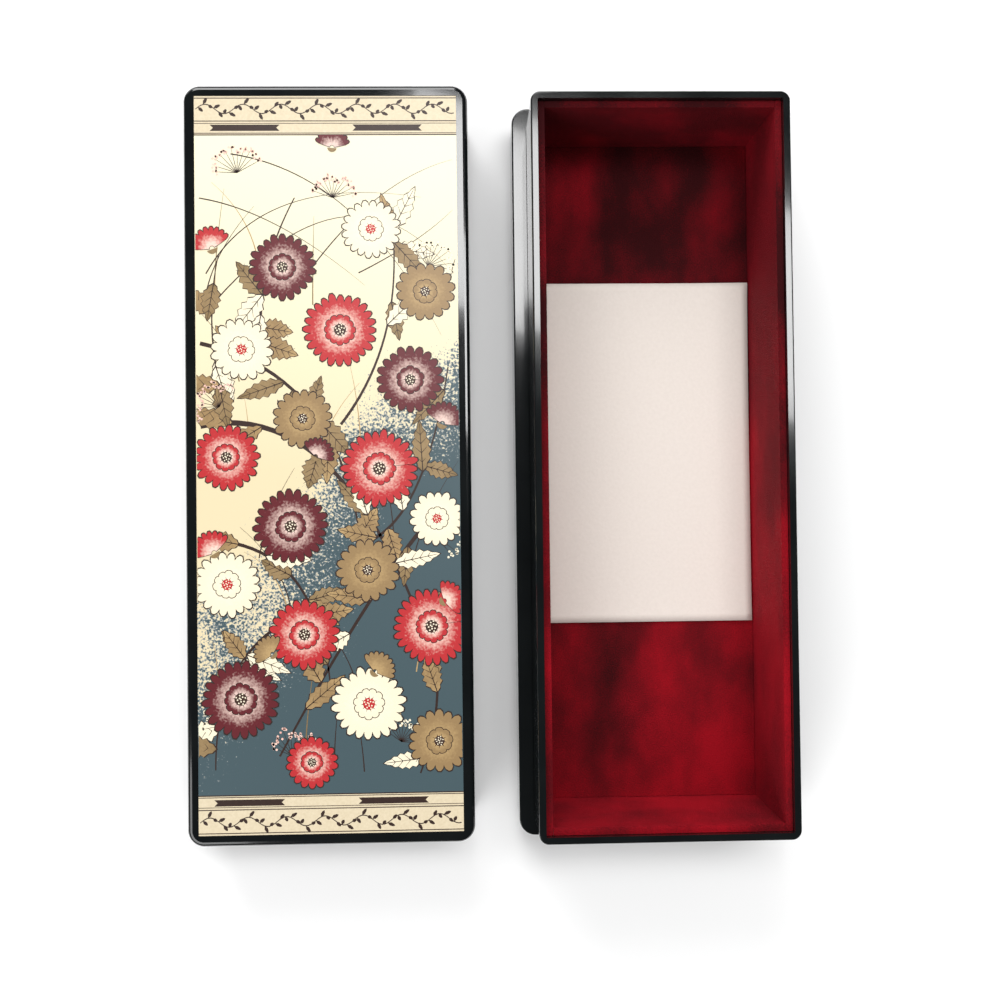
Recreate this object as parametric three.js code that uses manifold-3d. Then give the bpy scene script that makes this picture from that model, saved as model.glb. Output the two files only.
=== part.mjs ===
// A long lacquer box, shown open: the tray stands at the origin and its lid lies beside it.
// Millimetres, +Z up. The origin is the middle of the tray's underside, and +Y runs along the box.
// The tray is a low outer shell with a thin frame glued inside it. The frame rises out of the
// shell, and the lid drops over the frame until its walls stop on the shell's top edge.

import * as THREE from 'three';
import { mergeVertices } from 'three/addons/utils/BufferGeometryUtils.js';
import Module from 'manifold-3d';

const wasm = await Module();
wasm.setup();

// Outline that the shell and the lid share
const boxWidth = 90;
const boxLength = 240;
const cornerRadius = 5.2;

// Outer shell of the tray
const shellHeight = 16.5;
const shellFloor = 3;
const shellEdgeRound = 0.5;
const footEdgeRound = 0.8;

// Frame that rises out of the shell and guides the lid
const riseHeight = 26.5;
const riseWall = 2.2;
const riseCornerRadius = 3;
const riseInnerRadius = 0.2;
const riseEdgeRound = 0.5;

// Lid
const lidWall = 4.2;
const lidTop = 3;
const lidEdgeRound = 1.6;
const lidInnerRadius = 1.4;
const lidClearance = 0.6;
const lidHeadroom = 1;

// Printed panel let into the lid's top
const panelBorder = 3.5;
const panelThickness = 0.6;
const panelRecess = 0.8;
const panelCornerRadius = 0.4;
const panelClearance = 0.1;

// Velvet lining: card boards faced with velvet that turns over their top edges
const glueLine = 0.1;
const liningBoard = 1.5;
const velvet = 0.5;
const liningDrop = 2;
const floorBoard = 1.5;
const floorPad = 1.2;
const floorFit = 0.2;

// Loose paper leaflet on the velvet floor
const leafletMargin = 0.6;
const leafletLength = 115;
const leafletThickness = 0.4;
const leafletForward = 6;

// Where the lid lies beside the tray
const lidGap = 14.6;
const lidForward = 2.3;

// Fineness of the round stretches
const cornerSteps = 8;
const edgeSteps = 4;

// What follows from the sizes above
const riseWidth = boxWidth - 2 * (lidWall + lidClearance);
const riseLength = boxLength - 2 * (lidWall + lidClearance);
const rimTop = shellHeight + riseHeight;
const innerWidth = riseWidth - 2 * riseWall;
const innerLength = riseLength - 2 * riseWall;
const liningTop = rimTop - liningDrop;
const liningFoot = shellFloor + glueLine;
const liningDepth = glueLine + liningBoard + glueLine + velvet;
const leafletWidth = innerWidth - 2 * (liningDepth + leafletMargin);
const lidDepth = riseHeight + lidHeadroom;
const lidHeight = lidDepth + lidTop;

const lacquer = new THREE.MeshStandardMaterial({ color: 0x0a0c0e, roughness: 0.12, metalness: 0 });
const print = new THREE.MeshStandardMaterial({ color: 0xe6d9b2, roughness: 0.4, metalness: 0.1 });
const redVelvet = new THREE.MeshStandardMaterial({ color: 0x8c0410, roughness: 0.9, metalness: 0 });
const greyCard = new THREE.MeshStandardMaterial({ color: 0x9a8f7d, roughness: 0.9, metalness: 0 });
const wadding = new THREE.MeshStandardMaterial({ color: 0xd9d4c8, roughness: 1, metalness: 0 });
const paper = new THREE.MeshStandardMaterial({ color: 0xdcd0c4, roughness: 0.8, metalness: 0 });

function roundedRectangle(width, length, radius) {
  const x = width / 2;
  const y = length / 2;
  const quarter = Math.PI / 2;
  const shape = new THREE.Shape();
  shape.absarc(x - radius, y - radius, radius, 0, quarter);
  shape.absarc(radius - x, y - radius, radius, quarter, 2 * quarter);
  shape.absarc(radius - x, radius - y, radius, 2 * quarter, 3 * quarter);
  shape.absarc(x - radius, radius - y, radius, 3 * quarter, 4 * quarter);
  return shape;
}

function slab(width, length, radius, bottom, top) {
  const geometry = new THREE.ExtrudeGeometry(roundedRectangle(width, length, radius), {
    depth: top - bottom,
    curveSegments: cornerSteps,
    bevelEnabled: false,
  });
  return geometry.translate(0, 0, bottom);
}

// A slab whose top and bottom edges are both rounded
function roundedSlab(width, length, radius, bottom, top, edge) {
  const geometry = new THREE.ExtrudeGeometry(roundedRectangle(width, length, radius), {
    depth: top - bottom - 2 * edge,
    curveSegments: cornerSteps,
    bevelEnabled: true,
    bevelThickness: edge,
    bevelSize: edge,
    bevelOffset: -edge,
    bevelSegments: edgeSteps,
  });
  return geometry.translate(0, 0, bottom + edge);
}

function toSolid(geometry) {
  const bare = geometry.clone();
  bare.deleteAttribute('normal');
  bare.deleteAttribute('uv');
  const merged = mergeVertices(bare);
  return new wasm.Manifold(new wasm.Mesh({
    numProp: 3,
    vertProperties: new Float32Array(merged.attributes.position.array),
    triVerts: new Uint32Array(merged.index.array),
  }));
}

function toGeometry(solid) {
  const mesh = solid.getMesh();
  const geometry = new THREE.BufferGeometry();
  geometry.setAttribute('position', new THREE.BufferAttribute(mesh.vertProperties, 3));
  geometry.setIndex(new THREE.BufferAttribute(mesh.triVerts, 1));
  geometry.computeVertexNormals();
  return geometry;
}

// A block with one rounding round its top edge and another round its foot
function block(width, length, radius, bottom, top, topEdge, footEdge) {
  const height = top - bottom;
  const upper = roundedSlab(width, length, radius, bottom - height, top, topEdge);
  const lower = roundedSlab(width, length, radius, bottom, top + height, footEdge);
  return toSolid(upper).intersect(toSolid(lower));
}

function addPiece(group, name, geometry, material) {
  const mesh = new THREE.Mesh(geometry, material);
  mesh.name = name;
  group.add(mesh);
  return mesh;
}

function shell() {
  const body = block(boxWidth, boxLength, cornerRadius, 0, shellHeight, shellEdgeRound, footEdgeRound);
  const room = slab(
    riseWidth + 2 * glueLine,
    riseLength + 2 * glueLine,
    riseCornerRadius + glueLine,
    shellFloor,
    shellHeight + shellEdgeRound,
  );
  return toGeometry(body.subtract(toSolid(room)));
}

function riseFrame() {
  const foot = shellFloor + glueLine;
  const outer = block(riseWidth, riseLength, riseCornerRadius, foot, rimTop, riseEdgeRound, riseEdgeRound);
  const inner = slab(innerWidth, innerLength, riseInnerRadius, foot - riseWall, rimTop + riseWall);
  return toGeometry(outer.subtract(toSolid(inner)));
}

function lidShell() {
  const body = block(boxWidth, boxLength, cornerRadius, 0, lidHeight, lidEdgeRound, shellEdgeRound);
  const hollow = slab(
    boxWidth - 2 * lidWall,
    boxLength - 2 * lidWall,
    lidInnerRadius,
    -lidTop,
    lidDepth,
  );
  const recess = slab(
    boxWidth - 2 * panelBorder,
    boxLength - 2 * panelBorder,
    panelCornerRadius,
    lidHeight - panelRecess,
    lidHeight + panelRecess,
  );
  return toGeometry(body.subtract(toSolid(hollow)).subtract(toSolid(recess)));
}

function picturePanel() {
  const bottom = lidHeight - panelRecess + glueLine;
  return slab(
    boxWidth - 2 * (panelBorder + panelClearance),
    boxLength - 2 * (panelBorder + panelClearance),
    panelCornerRadius,
    bottom,
    bottom + panelThickness,
  );
}

// One wall's lining, along Y with its back on x = 0: the board, and the velvet that faces it
function wallLining(length) {
  const boardTop = liningTop - velvet - glueLine;
  const boardHeight = boardTop - liningFoot;
  const board = new THREE.BoxGeometry(liningBoard, length, boardHeight);
  board.translate(glueLine + liningBoard / 2, 0, liningFoot + boardHeight / 2);

  const faceBack = glueLine + liningBoard + glueLine;
  const profile = new THREE.Shape();
  profile.moveTo(faceBack, liningFoot);
  profile.lineTo(liningDepth, liningFoot);
  profile.lineTo(liningDepth, liningTop);
  profile.lineTo(glueLine, liningTop);
  profile.lineTo(glueLine, liningTop - velvet);
  profile.lineTo(faceBack, liningTop - velvet);
  const facing = new THREE.ExtrudeGeometry(profile, { depth: length, bevelEnabled: false });
  facing.rotateX(Math.PI / 2).translate(0, length / 2, 0);
  return { board, facing };
}

function addWallLinings(tray) {
  const sideLength = innerLength - 2 * glueLine;
  const endLength = innerWidth - 2 * (liningDepth + glueLine);
  const walls = [
    { name: 'left', length: sideLength, x: -innerWidth / 2, y: 0, turn: 0 },
    { name: 'right', length: sideLength, x: innerWidth / 2, y: 0, turn: Math.PI },
    { name: 'head', length: endLength, x: 0, y: innerLength / 2, turn: -Math.PI / 2 },
    { name: 'foot', length: endLength, x: 0, y: -innerLength / 2, turn: Math.PI / 2 },
  ];
  for (const wall of walls) {
    const side = new THREE.Group();
    side.position.set(wall.x, wall.y, 0);
    side.rotation.z = wall.turn;
    const { board, facing } = wallLining(wall.length);
    addPiece(side, `${wall.name}_lining_board`, board, greyCard);
    addPiece(side, `${wall.name}_lining_velvet`, facing, redVelvet);
    tray.add(side);
  }
}

// The floor's layers, each lying on the one below it; returns the height of the velvet's top
function addFloor(tray) {
  const width = innerWidth - 2 * (liningDepth + floorFit);
  const length = innerLength - 2 * (liningDepth + floorFit);
  const layers = [
    { name: 'floor_board', thickness: floorBoard, material: greyCard },
    { name: 'floor_pad', thickness: floorPad, material: wadding },
    { name: 'floor_velvet', thickness: velvet, material: redVelvet },
  ];
  let top = shellFloor;
  for (const layer of layers) {
    const geometry = new THREE.BoxGeometry(width, length, layer.thickness);
    const mesh = addPiece(tray, layer.name, geometry, layer.material);
    mesh.position.z = top + glueLine + layer.thickness / 2;
    top += glueLine + layer.thickness;
  }
  return top;
}

function addLeaflet(tray, floorTop) {
  const sheet = new THREE.BoxGeometry(leafletWidth, leafletLength, leafletThickness);
  const mesh = addPiece(tray, 'leaflet', sheet, paper);
  mesh.position.set(0, leafletForward, floorTop + glueLine + leafletThickness / 2);
}

const tray = new THREE.Group();
addPiece(tray, 'tray_shell', shell(), lacquer);
addPiece(tray, 'rise_frame', riseFrame(), lacquer);
addWallLinings(tray);
addLeaflet(tray, addFloor(tray));

const lid = new THREE.Group();
addPiece(lid, 'lid_shell', lidShell(), lacquer);
addPiece(lid, 'lid_picture_panel', picturePanel(), print);
lid.position.set(-(boxWidth + lidGap), lidForward, 0);

const box = new THREE.Group();
box.add(tray, lid);

export default box;
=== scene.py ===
import math
import random

import bmesh
import bpy
from mathutils import Matrix, Vector


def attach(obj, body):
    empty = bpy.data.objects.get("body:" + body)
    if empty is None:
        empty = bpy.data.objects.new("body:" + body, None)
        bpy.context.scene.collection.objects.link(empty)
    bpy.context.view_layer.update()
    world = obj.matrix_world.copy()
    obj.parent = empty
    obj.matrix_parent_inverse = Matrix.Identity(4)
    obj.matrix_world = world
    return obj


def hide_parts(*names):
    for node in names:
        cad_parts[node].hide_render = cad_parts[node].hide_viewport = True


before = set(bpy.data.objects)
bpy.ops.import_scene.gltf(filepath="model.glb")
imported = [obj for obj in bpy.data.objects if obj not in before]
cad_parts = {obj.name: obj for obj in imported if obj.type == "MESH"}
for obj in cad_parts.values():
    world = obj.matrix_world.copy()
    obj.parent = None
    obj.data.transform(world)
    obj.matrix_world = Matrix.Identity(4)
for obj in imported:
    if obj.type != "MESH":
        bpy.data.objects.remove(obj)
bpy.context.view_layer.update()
mm = 0.001


# Node helpers. Each returns the socket that carries its result.
def buildGrain():
    group = bpy.data.node_groups.new("grain", "ShaderNodeTree")
    sockets = {"Scale": "NodeSocketFloat", "Detail": "NodeSocketFloat", "Stretch": "NodeSocketVector"}
    for name, kind in sockets.items():
        group.interface.new_socket(name, in_out="INPUT", socket_type=kind)
    group.interface.new_socket("Grain", in_out="OUTPUT", socket_type="NodeSocketFloat")
    given = group.nodes.new("NodeGroupInput")
    result = group.nodes.new("NodeGroupOutput")
    coords = group.nodes.new("ShaderNodeTexCoord")
    mapping = group.nodes.new("ShaderNodeMapping")
    noise = group.nodes.new("ShaderNodeTexNoise")
    group.links.new(coords.outputs["Object"], mapping.inputs["Vector"])
    group.links.new(given.outputs["Stretch"], mapping.inputs["Scale"])
    group.links.new(mapping.outputs["Vector"], noise.inputs["Vector"])
    group.links.new(given.outputs["Scale"], noise.inputs["Scale"])
    group.links.new(given.outputs["Detail"], noise.inputs["Detail"])
    group.links.new(noise.outputs["Fac"], result.inputs["Grain"])
    return group


grainGroup = buildGrain()


def newMaterial(name):
    material = bpy.data.materials.new(name)
    material.use_nodes = True
    nodes = material.node_tree.nodes
    return material, nodes, material.node_tree.links, nodes["Principled BSDF"]


def grainFrom(nodes, links, scale, detail, stretch=(1, 1, 1)):
    grain = nodes.new("ShaderNodeGroup")
    grain.node_tree = grainGroup
    grain.inputs["Scale"].default_value = scale
    grain.inputs["Detail"].default_value = detail
    grain.inputs["Stretch"].default_value = stretch
    return grain.outputs["Grain"]


def placeFrom(nodes, links):
    coords = nodes.new("ShaderNodeTexCoord")
    split = nodes.new("ShaderNodeSeparateXYZ")
    links.new(coords.outputs["Object"], split.inputs["Vector"])
    return split.outputs


# source x factor + rest, where rest is a number or another socket
def scaledSum(nodes, links, source, factor, rest):
    total = nodes.new("ShaderNodeMath")
    total.operation = "MULTIPLY_ADD"
    links.new(source, total.inputs[0])
    total.inputs[1].default_value = factor
    if isinstance(rest, float):
        total.inputs[2].default_value = rest
    else:
        links.new(rest, total.inputs[2])
    return total.outputs[0]


def rampFrom(nodes, links, source, stops):
    ramp = nodes.new("ShaderNodeValToRGB")
    elements = ramp.color_ramp.elements
    while len(elements) < len(stops):
        elements.new(0.5)
    for element, (position, colour) in zip(elements, stops):
        element.position = position
        element.color = (*colour, 1)
    links.new(source, ramp.inputs["Fac"])
    return ramp.outputs["Color"]


def bumpFrom(nodes, links, source, distance):
    bump = nodes.new("ShaderNodeBump")
    bump.inputs["Distance"].default_value = distance
    bump.inputs["Strength"].default_value = 1.0
    links.new(source, bump.inputs["Height"])
    return bump.outputs["Normal"]


print("finishes")
lacquerValues = {
    "haze": (60, 5), "ripple": (35, 2), "rippleDepth": 0.00002,     # grain scale and detail, depth in metres
    "tones": [(0.3, (0.0035, 0.0045, 0.005)), (0.7, (0.006, 0.0075, 0.008))],
    "roughness": (0.07, 0.16), "coat": 0.5, "coatRoughness": 0.05,
}
velvetValues = {
    # the cloud grain is painted sheen: bright and dark patches in the velvet's colour
    "sheenCloud": (45, 4, (1, 0.6, 1)), "nap": (2600, 2), "napShare": 0.35, "napDepth": 0.00025,
    "paintedLightToFoot": -1.1,     # painted light, brighter towards the foot, per metre along the tray
    "tones": [(0.5, (0.03, 0.0003, 0.0015)), (0.7, (0.12, 0.0005, 0.004)), (0.95, (0.3, 0.001, 0.008))],
    "roughness": 0.85, "specular": 0.15,
    "sheen": 0.35, "sheenRoughness": 0.35, "sheenTint": (1, 0.03, 0.06, 1),
}
plainValues = {
    "card": {"name": "grey card", "dark": (0.24, 0.2, 0.15), "light": (0.38, 0.33, 0.26),
             "grain": 900, "roughness": 0.9, "depth": 0.00005},
    "wadding": {"name": "wadding", "dark": (0.6, 0.56, 0.5), "light": (0.8, 0.76, 0.7),
                "grain": 300, "roughness": 1.0, "depth": 0.0003},
    "paper": {"name": "cream paper", "dark": (0.71, 0.64, 0.585), "light": (0.74, 0.67, 0.615),
              "grain": 900, "roughness": 0.75, "depth": 0.00004},
}
plainDetail = 4
plainStops = (0.3, 0.7)


def lacquerMaterial(v):
    material, nodes, links, shader = newMaterial("black lacquer")
    haze = grainFrom(nodes, links, *v["haze"])
    links.new(rampFrom(nodes, links, haze, v["tones"]), shader.inputs["Base Color"])
    rough = nodes.new("ShaderNodeMapRange")
    rough.inputs["To Min"].default_value, rough.inputs["To Max"].default_value = v["roughness"]
    links.new(haze, rough.inputs["Value"])
    links.new(rough.outputs["Result"], shader.inputs["Roughness"])
    shader.inputs["Coat Weight"].default_value = v["coat"]
    shader.inputs["Coat Roughness"].default_value = v["coatRoughness"]
    ripple = grainFrom(nodes, links, *v["ripple"])
    links.new(bumpFrom(nodes, links, ripple, v["rippleDepth"]), shader.inputs["Normal"])
    return material


def velvetMaterial(v):
    material, nodes, links, shader = newMaterial("crimson velvet")
    nap = grainFrom(nodes, links, *v["nap"])
    # painted sheen: cloudy bright and dark patches laid over the nap's own fine grain
    napAndSheen = scaledSum(nodes, links, nap, v["napShare"], grainFrom(nodes, links, *v["sheenCloud"]))
    # painted light: the velvet's colour brightens towards the foot of the tray
    shade = scaledSum(nodes, links, placeFrom(nodes, links)["Y"], v["paintedLightToFoot"], napAndSheen)
    links.new(rampFrom(nodes, links, shade, v["tones"]), shader.inputs["Base Color"])
    shader.inputs["Roughness"].default_value = v["roughness"]
    shader.inputs["Specular IOR Level"].default_value = v["specular"]
    shader.inputs["Sheen Weight"].default_value = v["sheen"]
    shader.inputs["Sheen Roughness"].default_value = v["sheenRoughness"]
    shader.inputs["Sheen Tint"].default_value = v["sheenTint"]
    links.new(bumpFrom(nodes, links, nap, v["napDepth"]), shader.inputs["Normal"])
    return material


def plainMaterial(v):
    material, nodes, links, shader = newMaterial(v["name"])
    grain = grainFrom(nodes, links, v["grain"], plainDetail)
    tones = zip(plainStops, (v["dark"], v["light"]))
    links.new(rampFrom(nodes, links, grain, list(tones)), shader.inputs["Base Color"])
    shader.inputs["Roughness"].default_value = v["roughness"]
    links.new(bumpFrom(nodes, links, grain, v["depth"]), shader.inputs["Normal"])
    return material


finishes = {"lacquer": lacquerMaterial(lacquerValues), "velvet": velvetMaterial(velvetValues)}
for finish, values in plainValues.items():
    finishes[finish] = plainMaterial(values)

finishOf = {
    "tray_shell": "lacquer", "rise_frame": "lacquer", "lid_shell": "lacquer",
    "floor_board": "card", "floor_pad": "wadding", "floor_velvet": "velvet",
}
for wall in ("left", "right", "head", "foot"):
    finishOf[wall + "_lining_board"] = "card"
    finishOf[wall + "_lining_velvet"] = "velvet"


def dress(name, material):
    data = bpy.data.objects[name].data
    data.materials.clear()
    data.materials.append(material)


for name, finish in finishOf.items():
    dress(name, finishes[finish])


def newObject(name, mesh, material):
    data = bpy.data.meshes.new(name)
    mesh.to_mesh(data)
    mesh.free()
    data.materials.append(material)
    piece = bpy.data.objects.new(name, data)
    bpy.context.scene.collection.objects.link(piece)
    return piece


def addPiece(name, mesh, material, body):
    mesh.normal_update()
    piece = newObject(name, mesh, material)
    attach(piece, body)
    return piece


print("leaflet")
leafletValues = {
    "width": 70.4, "length": 115.0, "forward": 6.0, "thickness": 0.16,
    "rest": 6.62,           # just over the floor velvet's top
    "headCurl": (0.75, 6), "footCurl": (0.525, 8),      # lift at the end, and how late it starts
    "sideCurl": 0.35, "sideCurlAtFoot": 0.4,
    "wave": 0.1, "waveAcross": 120, "waveAlong": 60,    # height in mm, turns in radians per metre
    "segments": (28, 46),
}


def leafletSheet(v):
    mesh = bmesh.new()
    bmesh.ops.create_grid(mesh, x_segments=v["segments"][0], y_segments=v["segments"][1], size=0.5)
    bmesh.ops.scale(mesh, vec=(v["width"] * mm, v["length"] * mm, 1), verts=mesh.verts)
    headLift, headPower = v["headCurl"]
    footLift, footPower = v["footCurl"]
    for vert in mesh.verts:
        across = abs(vert.co.x) / (v["width"] * mm / 2)
        along = vert.co.y / (v["length"] * mm / 2)
        lift = headLift * max(0, along) ** headPower + footLift * max(0, -along) ** footPower
        sideShare = v["sideCurlAtFoot"] + (1 - v["sideCurlAtFoot"]) * max(0, along)
        lift += v["sideCurl"] * across ** 4 * sideShare
        lift += v["wave"] * (1 + math.sin(vert.co.x * v["waveAcross"] + vert.co.y * v["waveAlong"]))
        vert.co.z = (v["rest"] + v["thickness"] / 2 + lift) * mm
        vert.co.y += v["forward"] * mm
    bmesh.ops.solidify(mesh, geom=mesh.faces[:], thickness=v["thickness"] * mm)
    bmesh.ops.recalc_face_normals(mesh, faces=mesh.faces)
    for face in mesh.faces:
        face.smooth = True
    return mesh


leaflet = addPiece("leaflet_sheet", leafletSheet(leafletValues), finishes["paper"], "leaflet")
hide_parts("leaflet")

print("picture")
# The print is drawn in millimetres from the panel's middle, as flat shapes stacked a hair apart.
panelValues = {
    "x": -104.6, "y": 2.3, "width": 82.8, "length": 232.8, "top": 30.4,
    "layer": 0.006,         # height of one level of the stack
    "fieldEnd": 12.4,       # end band's depth, which the flowers stop at
    "fieldSide": 0.2, "strokeMargin": 0.1,
}
halfWidth = panelValues["width"] / 2
halfLength = panelValues["length"] / 2

groundValues = {
    "across": 11.0, "along": -9.0, "start": 1.02,       # where gold gives way to slate, per metre
    "wave": (28, 2), "waveShare": 0.9, "stipple": (1500, 1), "stippleShare": 0.9,
    "gold": [(0.0, (0.74, 0.63, 0.4)), (0.1, (0.86, 0.8, 0.58))],
    "slate": [(0.9, (0.3, 0.33, 0.33)), (1.0, (0.052, 0.09, 0.105))],
    "border": [(0.82, (0, 0, 0)), (0.92, (1, 1, 1))],
    "roughness": 0.4,
}
inkValues = {"speck": (1400, 2), "speckShare": 0.5, "innerStop": 0.5, "outerStop": 0.9, "roughness": 0.42}
inkColours = {          # name, colour at a shape's middle, colour at its tips
    "red": ("red ink", (0.85, 0.6, 0.5), (0.48, 0.015, 0.02)),
    "maroon": ("maroon ink", (0.75, 0.55, 0.48), (0.12, 0.006, 0.012)),
    "ochre": ("ochre ink", (0.45, 0.3, 0.13), (0.3, 0.19, 0.08)),
    "cream": ("cream ink", (0.9, 0.82, 0.62), (0.84, 0.76, 0.56)),
    "brown": ("brown ink", (0.03, 0.012, 0.008), (0.05, 0.02, 0.012)),
    "leafDark": ("dark leaf ink", (0.2, 0.13, 0.05), (0.3, 0.2, 0.09)),
    "band": ("band ink", (0.6, 0.5, 0.33), (0.72, 0.62, 0.44)),
}


def groundMaterial(v):
    material, nodes, links, shader = newMaterial("printed ground")
    place = placeFrom(nodes, links)
    across = scaledSum(nodes, links, place["X"], v["across"], v["start"])
    slope = scaledSum(nodes, links, place["Y"], v["along"], across)
    wavy = scaledSum(nodes, links, grainFrom(nodes, links, *v["wave"]), v["waveShare"], slope)
    stippled = scaledSum(nodes, links, grainFrom(nodes, links, *v["stipple"]), v["stippleShare"], wavy)
    blend = nodes.new("ShaderNodeMix")
    blend.data_type = "RGBA"
    factor, gold, slate = blend.inputs["Factor"], blend.inputs[6], blend.inputs[7]
    links.new(rampFrom(nodes, links, stippled, v["border"]), factor)
    links.new(rampFrom(nodes, links, place["Y"], v["gold"]), gold)
    links.new(rampFrom(nodes, links, stippled, v["slate"]), slate)
    links.new(blend.outputs[2], shader.inputs["Base Color"])
    shader.inputs["Roughness"].default_value = v["roughness"]
    return material


# The UV map's U runs from 0 at a shape's middle to 1 at its tips.
def inkMaterial(name, inner, outer, v):
    material, nodes, links, shader = newMaterial(name)
    uv = nodes.new("ShaderNodeUVMap")
    split = nodes.new("ShaderNodeSeparateXYZ")
    links.new(uv.outputs["UV"], split.inputs["Vector"])
    speck = grainFrom(nodes, links, *v["speck"])
    tone = scaledSum(nodes, links, speck, v["speckShare"], split.outputs["X"])
    stops = [(v["innerStop"], inner), (v["outerStop"], outer)]
    links.new(rampFrom(nodes, links, tone, stops), shader.inputs["Base Color"])
    shader.inputs["Roughness"].default_value = v["roughness"]
    return material


sheets = {ink: bmesh.new() for ink in inkColours}
for sheet in sheets.values():
    sheet.loops.layers.uv.new("UVMap")


def flatShape(ink, points, tone, level):
    sheet = sheets[ink]
    uv = sheet.loops.layers.uv["UVMap"]
    panelX, panelY = panelValues["x"], panelValues["y"]
    z = (panelValues["top"] + panelValues["layer"] * level) * mm
    verts = [sheet.verts.new(((panelX + x) * mm, (panelY + y) * mm, z)) for x, y in points]
    face = sheet.faces.new(verts)
    if face.calc_area() == 0:
        return
    face.normal_update()
    if face.normal.z < 0:
        face.normal_flip()
    for loop in face.loops:
        loop[uv].uv = (tone[verts.index(loop.vert)] if isinstance(tone, list) else tone, 0)


def keepWithin(value, limit):
    return max(-limit, min(limit, value))


# A shape of the flower field, squeezed in at the panel's sides and at the end bands
def shapeInField(ink, points, tone, level):
    sideLimit = halfWidth - panelValues["fieldSide"]
    endLimit = halfLength - panelValues["fieldEnd"]
    flatShape(ink, [(keepWithin(x, sideLimit), keepWithin(y, endLimit)) for x, y in points], tone, level)


def turned(outline, x, y, angle):
    c, s = math.cos(angle), math.sin(angle)
    return [(x + r * c - w * s, y + r * s + w * c) for r, w in outline]


def ringOfPoints(x, y, radius, sides, step):
    return [(x + radius * math.cos(i * step), y + radius * math.sin(i * step)) for i in range(sides)]


petalValues = {
    "outline": ((0, 0.25), (0.35, 0.7), (0.7, 1.0), (0.9, 0.8), (1.0, 0.3)),    # shares of reach and width
    "innerTone": 0.15, "toneRise": 0.75,
    "edgeStretch": 1.03, "edgeEnds": 0.12, "edgeSides": 0.16,
}


def petal(cx, cy, angle, near, far, width, ink, level):
    v = petalValues
    outline = [(near + (far - near) * t, width * w / 2) for t, w in v["outline"]]
    tones = [v["innerTone"] + v["toneRise"] * t for t, w in v["outline"]]
    outline += [(r, -w) for r, w in reversed(outline)]
    tones += list(reversed(tones))
    edge = [(near + (r - near) * v["edgeStretch"] + math.copysign(v["edgeEnds"], 1 if r > near else -1),
             w + math.copysign(v["edgeSides"], w)) for r, w in outline]
    shapeInField("brown", turned(edge, cx, cy, angle), 0.2, level)
    shapeInField(ink, turned(outline, cx, cy, angle), tones, level + 0.5)


rosetteValues = {
    "rings": ((1.0, 1), (0.42, 2)),     # share of radius, and what the petal count is divided by
    "eye": 0.14, "petalWidth": 0.84, "least": 0.95, "spread": 0.08,
    "disc": 0.17, "seeds": 12, "seedField": 0.15, "seedRadius": 0.022, "seedTurn": 2.4, "seedStep": 1.05,
}


def rosette(cx, cy, radius, ink, petals, seed, level):
    v = rosetteValues
    dice = random.Random(seed)
    turn = dice.random()
    for ring, (reach, divider) in enumerate(v["rings"]):
        count = petals // divider
        for i in range(count):
            angle = 2 * math.pi * (i + 0.5 * ring) / count + turn
            far = radius * reach * (v["least"] + v["spread"] * dice.random())
            petal(cx, cy, angle, radius * v["eye"], far, 2 * math.pi * far / count * v["petalWidth"], ink,
                  level + ring * 1.2 + 0.02 * i)
    disc = ringOfPoints(cx, cy, radius * v["disc"], 12, math.pi / 6)
    shapeInField("red" if ink == "cream" else "brown", disc, 0.9, level + 3)
    for i in range(v["seeds"]):
        angle, r = i * v["seedTurn"], radius * v["seedField"] * math.sqrt(i / v["seeds"])
        x, y = cx + r * math.cos(angle), cy + r * math.sin(angle)
        grain = ringOfPoints(x, y, radius * v["seedRadius"], 6, v["seedStep"])
        shapeInField("cream", grain, 0.3, level + 3.5)


fanValues = {"petals": 9, "spread": 2.3, "eye": 0.12, "shorter": 0.12, "petalWidth": 0.95,
             "cup": 0.25, "cupStart": 0.55, "cupSweep": 0.9, "cupSteps": 8}


def fan(cx, cy, radius, angle, ink, level):
    v = fanValues
    for i in range(v["petals"]):
        side = i / (v["petals"] - 1) - 0.5
        petal(cx, cy, angle + side * v["spread"], radius * v["eye"], radius * (1 - v["shorter"] * abs(side)),
              radius * v["spread"] / v["petals"] * v["petalWidth"], ink, level + 0.02 * i)
    shares = [i / v["cupSteps"] for i in range(v["cupSteps"] + 1)]
    turns = [angle + math.pi * (v["cupStart"] + share * v["cupSweep"]) for share in shares]
    cup = [(cx + radius * v["cup"] * math.cos(a), cy + radius * v["cup"] * math.sin(a)) for a in turns]
    shapeInField("leafDark", cup, 0.5, level + 1)


# A line that narrows to taper x its width, left out where it would leave the field
def stroke(points, width, ink, level, taper=0.4):
    sideLimit = halfWidth - panelValues["fieldSide"] - panelValues["strokeMargin"]
    endLimit = halfLength - panelValues["fieldEnd"] - panelValues["strokeMargin"]
    left, right = [], []
    last = len(points) - 1
    for i, (x, y) in enumerate(points):
        ax, ay = points[max(0, i - 1)]
        bx, by = points[min(last, i + 1)]
        length = math.hypot(bx - ax, by - ay) or 1
        w = width / 2 * (1 - (1 - taper) * i / last)
        nx, ny = -(by - ay) / length * w, (bx - ax) / length * w
        left.append((x + nx, y + ny))
        right.append((x - nx, y - ny))
    for i in range(last):
        quad = [left[i], left[i + 1], right[i + 1], right[i]]
        if all(abs(x) < sideLimit and abs(y) < endLimit for x, y in quad):
            flatShape(ink, quad, 0.3, level)


def curve(start, bend, end, steps):
    shares = [i / steps for i in range(steps + 1)]
    return [tuple((1 - t) ** 2 * start[k] + 2 * t * (1 - t) * bend[k] + t * t * end[k] for k in (0, 1))
            for t in shares]


leafValues = {"teeth": 6, "notch": 0.72, "fullness": 0.8, "edge": 1.07, "rib": 0.35, "ribReach": 0.95,
              "vein": 0.22, "veins": 4, "veinSpacing": 5.5, "veinReach": 0.33}


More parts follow.
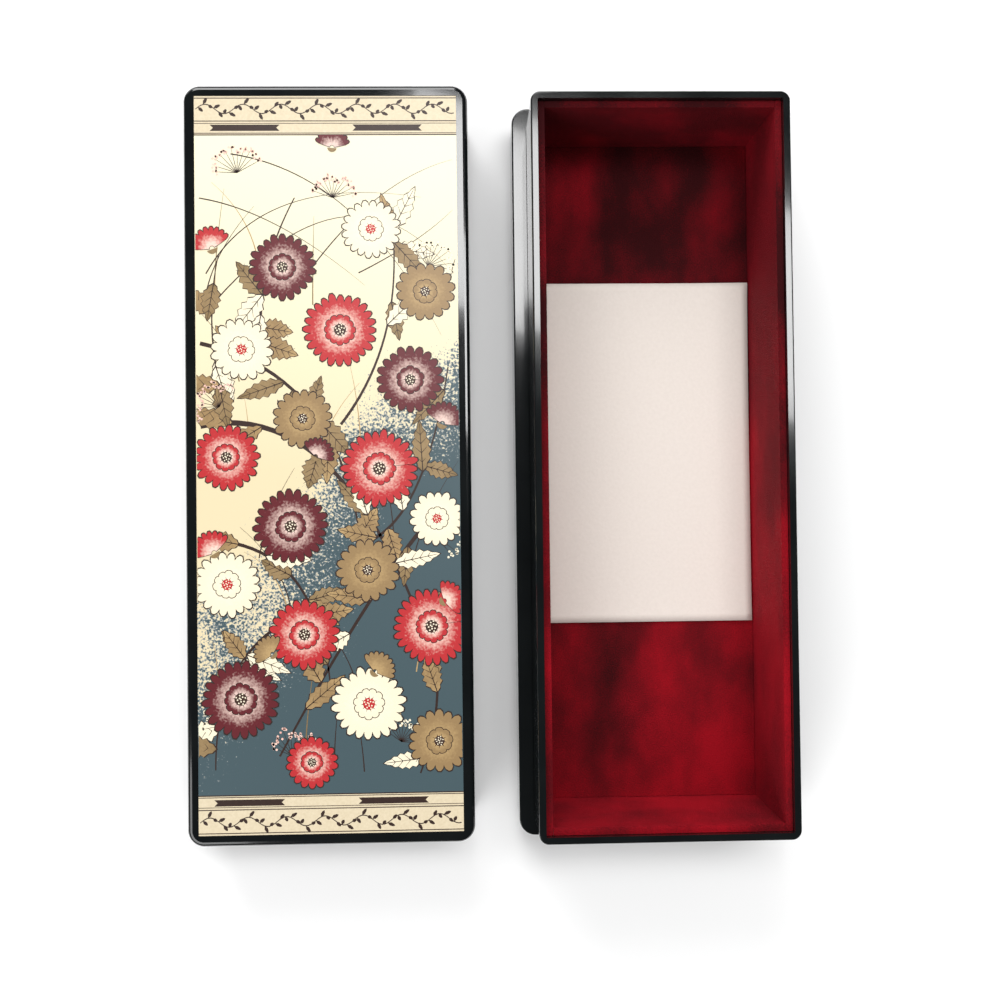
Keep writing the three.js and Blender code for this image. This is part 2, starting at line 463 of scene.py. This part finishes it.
def leaf(cx, cy, angle, length, width, ink, level):
    v = leafValues
    steps = v["teeth"] * 2
    upper = []
    for i in range(steps + 1):
        t = i / steps
        depth = 1.0 if i % 2 else v["notch"]
        upper.append((t * length, width / 2 * math.sin(math.pi * t ** v["fullness"]) * depth))
    outline = upper + [(r, -w) for r, w in upper][-2:0:-1]
    points = turned(outline, cx, cy, angle)
    (middleX, middleY), (tipX, tipY) = turned([(length / 2, 0), (length * v["ribReach"], 0)], cx, cy, angle)
    grown = [(middleX + (x - middleX) * v["edge"], middleY + (y - middleY) * v["edge"]) for x, y in points]
    shapeInField("brown", grown, 0.2, level)
    shapeInField(ink, points, [0.2 + 0.6 * abs(w) / (width / 2) for r, w in outline], level + 0.4)
    stroke([(cx, cy), (tipX, tipY)], v["rib"], "brown", level + 0.8)
    for i in range(1, v["veins"] + 1):
        r = length * i / v["veinSpacing"]
        reach = width * v["veinReach"] * math.sin(math.pi * i / v["veinSpacing"])
        for side in (1, -1):
            vein = turned([(r, 0), (r + reach, side * reach)], cx, cy, angle)
            stroke(vein, v["vein"], "brown", level + 0.8)


umbelValues = {"rays": 11, "spread": 2.6, "least": 0.8, "more": 0.25, "ray": 0.22,
               "dots": 5, "scatter": 0.9, "dotRadius": 0.42, "dotSides": 5, "dotStep": 1.26}


def umbel(cx, cy, radius, angle, ink, level, seed):
    v = umbelValues
    dice = random.Random(seed)
    for i in range(v["rays"]):
        a = angle + (i / (v["rays"] - 1) - 0.5) * v["spread"]
        reach = radius * (v["least"] + v["more"] * dice.random())
        x, y = cx + reach * math.cos(a), cy + reach * math.sin(a)
        stroke([(cx, cy), (x, y)], v["ray"], "brown", level)
        for k in range(v["dots"]):
            dx, dy = dice.uniform(-v["scatter"], v["scatter"]), dice.uniform(-v["scatter"], v["scatter"])
            dot = ringOfPoints(x + dx, y + dy, v["dotRadius"], v["dotSides"], v["dotStep"])
            shapeInField(ink, dot, 0.3, level + 0.5)


bandValues = {          # depths are measured in from the panel's end
    "depth": 12.2, "rules": ((0.5, 0.3), (7.8, 0.3), (8.6, 0.2), (11.7, 0.25), (12.2, 0.35)),
    "bars": ((-36.5, -14.5), (8.5, 30.5)), "barDepths": (9.1, 11.1), "barNotch": 1,
    "stemDepth": 4.1, "stemSway": 1.5, "stemTurn": 0.42, "stemStep": 0.8, "stemInset": 0.5, "stemPoints": 103,
    "stemHalfWidth": 0.17, "lean": (0.75, 0.35, 1.7), "reach": (2.1, 0.5, 2.3),    # middle, swing, turn
    "blade": ((0, 0), (0.4, 0.55), (0.8, 0.4), (1, 0), (0.8, -0.4), (0.4, -0.55)),
}


def endBand(sign, v):
    outer = halfLength
    inner = outer - v["depth"]

    def across(ink, low, high, tone, level):
        flatShape(ink, [(-halfWidth, sign * low), (halfWidth, sign * low),
                        (halfWidth, sign * high), (-halfWidth, sign * high)], tone, level)

    across("band", outer, inner, 0.5, 1)
    for depth, width in v["rules"]:
        across("brown", outer - depth - width, outer - depth, 0.3, 2)
    high, low = (outer - depth for depth in v["barDepths"])
    for x0, x1 in v["bars"]:
        flatShape("brown", [(x0, sign * low), (x1, sign * low), (x1 - v["barNotch"], sign * (low + high) / 2),
                            (x1, sign * high), (x0, sign * high),
                            (x0 + v["barNotch"], sign * (low + high) / 2)], 0.3, 2)

    middle = sign * (outer - v["stemDepth"])
    start = v["stemInset"] - halfWidth
    stem = [(start + i * v["stemStep"], middle + v["stemSway"] * math.sin(i * v["stemTurn"]))
            for i in range(v["stemPoints"])]
    w = v["stemHalfWidth"]
    for (ax, ay), (bx, by) in zip(stem, stem[1:]):
        flatShape("brown", [(ax, ay + w), (bx, by + w), (bx, by - w), (ax, ay - w)], 0.3, 2)
    for i, (x, y) in enumerate(stem[1:-2:2]):       # leaves on alternate sides of the stem
        side = 1 if i % 2 else -1
        lean, reach = (base + swing * math.sin(i * turn) for base, swing, turn in (v["lean"], v["reach"]))
        blade = turned([(reach * r, w) for r, w in v["blade"]], x, y, side * lean)
        flatShape("brown", [(px, keepWithin(py, halfLength)) for px, py in blade], 0.3, 3)


endBand(1, bandValues)
endBand(-1, bandValues)

branches = [            # start, bend, end, width
    ((-40, 38), (4, 28), (10, -26), 1.3), ((-40, 12), (0, 20), (26, -44), 1.9),
    ((-40, -24), (-4, -24), (0, -70), 1.2), ((38, -12), (18, -30), (-16, -92), 1.5),
    ((10, -26), (30, -20), (38, 30), 1.0), ((-20, 33), (-24, 58), (-10, 84), 0.9),
    ((4, 12), (26, 40), (20, 82), 0.9), ((26, -44), (40, -66), (28, -98), 1.2),
    ((-14, -50), (-36, -62), (-36, -96), 1.0), ((-30, 10), (-40, 40), (-34, 66), 0.7),
]
for start, bend, end, width in branches:
    stroke(curve(start, bend, end, 20), width, "brown", 4)

longGrasses = [
    ((-38, 60), (-20, 92), (30, 84)), ((-38, 48), (6, 100), (38, 62)), ((-30, 98), (10, 92), (36, 40)),
    ((-6, 60), (16, 90), (40, 96)), ((-40, 84), (-16, 80), (12, 56)), ((10, 60), (30, 70), (40, 80)),
]
for start, bend, end in longGrasses:
    stroke(curve(start, bend, end, 26), 0.42, "brown", 3, 0.15)

grassValues = {"count": 22, "seed": 11, "across": 38, "along": (-100, 78), "lean": 16, "height": (18, 34),
               "bendHeight": 14, "width": 0.4, "taper": 0.2, "inks": ["brown", "leafDark", "ochre"]}
dice = random.Random(grassValues["seed"])
for i in range(grassValues["count"]):
    x, y = dice.uniform(-grassValues["across"], grassValues["across"]), dice.uniform(*grassValues["along"])
    lean = dice.uniform(-grassValues["lean"], grassValues["lean"])
    tip = (x + lean, y + dice.uniform(*grassValues["height"]))
    blade = curve((x, y), (x + lean * 0.2, y + grassValues["bendHeight"]), tip, 12)
    stroke(blade, grassValues["width"], dice.choice(grassValues["inks"]), 3, grassValues["taper"])

foliageValues = {"count": 64, "seed": 5, "along": (0.1, 0.98), "length": (10, 16), "width": (5, 7.5),
                 "inks": ["leafDark", "ochre", "cream", "leafDark", "ochre"], "curveSteps": 40}
dice = random.Random(foliageValues["seed"])
for i in range(foliageValues["count"]):
    start, bend, end, width = branches[i % len(branches)]
    t = dice.uniform(*foliageValues["along"])
    x, y = curve(start, bend, end, foliageValues["curveSteps"])[int(t * foliageValues["curveSteps"])]
    leaf(x, y, dice.uniform(0, 2 * math.pi), dice.uniform(*foliageValues["length"]),
         dice.uniform(*foliageValues["width"]), dice.choice(foliageValues["inks"]), 6 + i * 0.05)

umbels = [              # x, y, radius, direction
    (-28, 92, 8, 1.8), (32, 62, 8, 0.9), (-34, 18, 7, 2.4), (34, -24, 8, 0.4),
    (-12, -92, 8, 1.4), (22, -88, 7, 1.2), (2, 84, 7, 1.5), (-33, -82, 7, 2.0),
]
for i, (x, y, radius, angle) in enumerate(umbels):
    umbel(x, y, radius, angle, "cream" if i % 2 else "red", 9, i)

flowerGrowth = 1.14
flowers = [             # x, y, radius before growth, ink, petals
    (14, 74, 8, "cream", 20), (-14, 62, 9, "maroon", 22), (31, 54, 8, "ochre", 16), (4, 42, 10, "red", 24),
    (-27, 36, 8.5, "cream", 18), (26, 26, 9, "maroon", 20), (-8, 14, 8, "ochre", 18), (-32, 2, 9, "red", 22),
    (16, -2, 10.5, "red", 26), (34, -18, 7.5, "cream", 18), (-12, -20, 10, "maroon", 24),
    (12, -34, 8.5, "ochre", 18), (-32, -38, 9, "cream", 20), (32, -52, 10.5, "red", 26),
    (-8, -54, 9.5, "red", 22), (12, -76, 10, "cream", 22), (-28, -74, 10.5, "maroon", 24),
    (34, -88, 8.5, "ochre", 18), (-6, -94, 7, "red", 18),
]
for i, (x, y, radius, ink, petals) in enumerate(flowers):
    rosette(x, y, radius * flowerGrowth, ink, petals, i, 12 + 0.3 * i)

fans = [                # x, y, radius, direction, ink
    (-36, 68, 7, 1.9, "red"), (36, 12, 7, 1.2, "maroon"), (2, 100, 6, 1.5, "maroon"),
    (-36, -28, 7, 2.1, "red"), (14, -66, 6.5, 0.9, "ochre"), (36, -44, 6.5, 0.5, "red"),
    (-18, -60, 6, 2.4, "ochre"), (-4, 2, 6, 1.0, "maroon"),
]
for i, (x, y, radius, angle, ink) in enumerate(fans):
    fan(x, y, radius, angle, ink, 20 + 0.2 * i)

for ink, (name, inner, outer) in inkColours.items():
    addPiece("print_" + ink, sheets[ink], inkMaterial(name, inner, outer, inkValues), "lid")
dress("lid_picture_panel", groundMaterial(groundValues))

print("stage")
stageValues = {"size": 3, "grain": (4, 2), "roughness": 0.9,
               "tones": [(0.3, (0.9, 0.9, 0.9)), (0.7, (0.92, 0.92, 0.92))]}


def stageMaterial(v):
    material, nodes, links, shader = newMaterial("pale ground")
    grain = grainFrom(nodes, links, *v["grain"])
    links.new(rampFrom(nodes, links, grain, v["tones"]), shader.inputs["Base Color"])
    shader.inputs["Roughness"].default_value = v["roughness"]
    return material


floorMesh = bmesh.new()
bmesh.ops.create_grid(floorMesh, x_segments=1, y_segments=1, size=stageValues["size"])
floor = newObject("floor", floorMesh, stageMaterial(stageValues))

print("light and camera")
lightValues = [         # the overhead panel is what the ledge mirrors as a pale stretch
    {"name": "overhead panel", "place": (0.12, 0.305, 1.0), "aim": (0.1, 0.25, 0),
     "size": (0.6, 0.24), "power": 5.5},
    {"name": "far side", "place": (-0.35, 1.3, 0.9), "aim": (-0.05, 0, 0), "size": (0.8, 0.8), "power": 13},
    {"name": "fill", "place": (-0.9, -0.9, 0.9), "aim": (-0.05, 0, 0), "size": (0.9, 0.9), "power": 9},
]
worldValues = {"lighting": 0.5, "seen": 1.0, "mirrored": -0.46}     # mirrored is added for glossy rays
cameraValues = {"sensor": 36, "lens": 37.98, "near": 0.01,
                "place": (-0.0597, -0.0157, 0.3642), "turn": (0.98, -1.544, -0.672)}    # metres, degrees

for v in lightValues:
    light = bpy.data.lights.new(v["name"], "AREA")
    light.shape = "RECTANGLE"
    light.size, light.size_y = v["size"]
    light.energy = v["power"]
    lamp = bpy.data.objects.new(v["name"], light)
    bpy.context.scene.collection.objects.link(lamp)
    lamp.location = v["place"]
    lamp.rotation_euler = (Vector(v["aim"]) - Vector(v["place"])).to_track_quat("-Z", "Y").to_euler()

world = bpy.data.worlds.new("studio")
world.use_nodes = True
worldNodes, worldLinks = world.node_tree.nodes, world.node_tree.links
background = worldNodes["Background"]
background.inputs["Color"].default_value = (1, 1, 1, 1)
paths = worldNodes.new("ShaderNodeLightPath")
strength = worldNodes.new("ShaderNodeMapRange")
strength.inputs["To Min"].default_value = worldValues["lighting"]
strength.inputs["To Max"].default_value = worldValues["seen"]
worldLinks.new(paths.outputs["Is Camera Ray"], strength.inputs["Value"])
glossy = scaledSum(worldNodes, worldLinks, paths.outputs["Is Glossy Ray"], worldValues["mirrored"],
                   strength.outputs["Result"])
worldLinks.new(glossy, background.inputs["Strength"])
bpy.context.scene.world = world
bpy.context.scene.view_settings.view_transform = "Standard"

cameraData = bpy.data.cameras.new("camera")
cameraData.sensor_width = cameraValues["sensor"]
cameraData.lens = cameraValues["lens"]
cameraData.clip_start = cameraValues["near"]
camera = bpy.data.objects.new("camera", cameraData)
bpy.context.scene.collection.objects.link(camera)
turnX, turnY, turnZ = (math.radians(angle) for angle in cameraValues["turn"])
turn = Matrix.Rotation(turnZ, 4, "Z") @ Matrix.Rotation(turnY, 4, "Y") @ Matrix.Rotation(turnX, 4, "X")
camera.matrix_world = Matrix.Translation(cameraValues["place"]) @ turn
bpy.context.scene.camera = camera
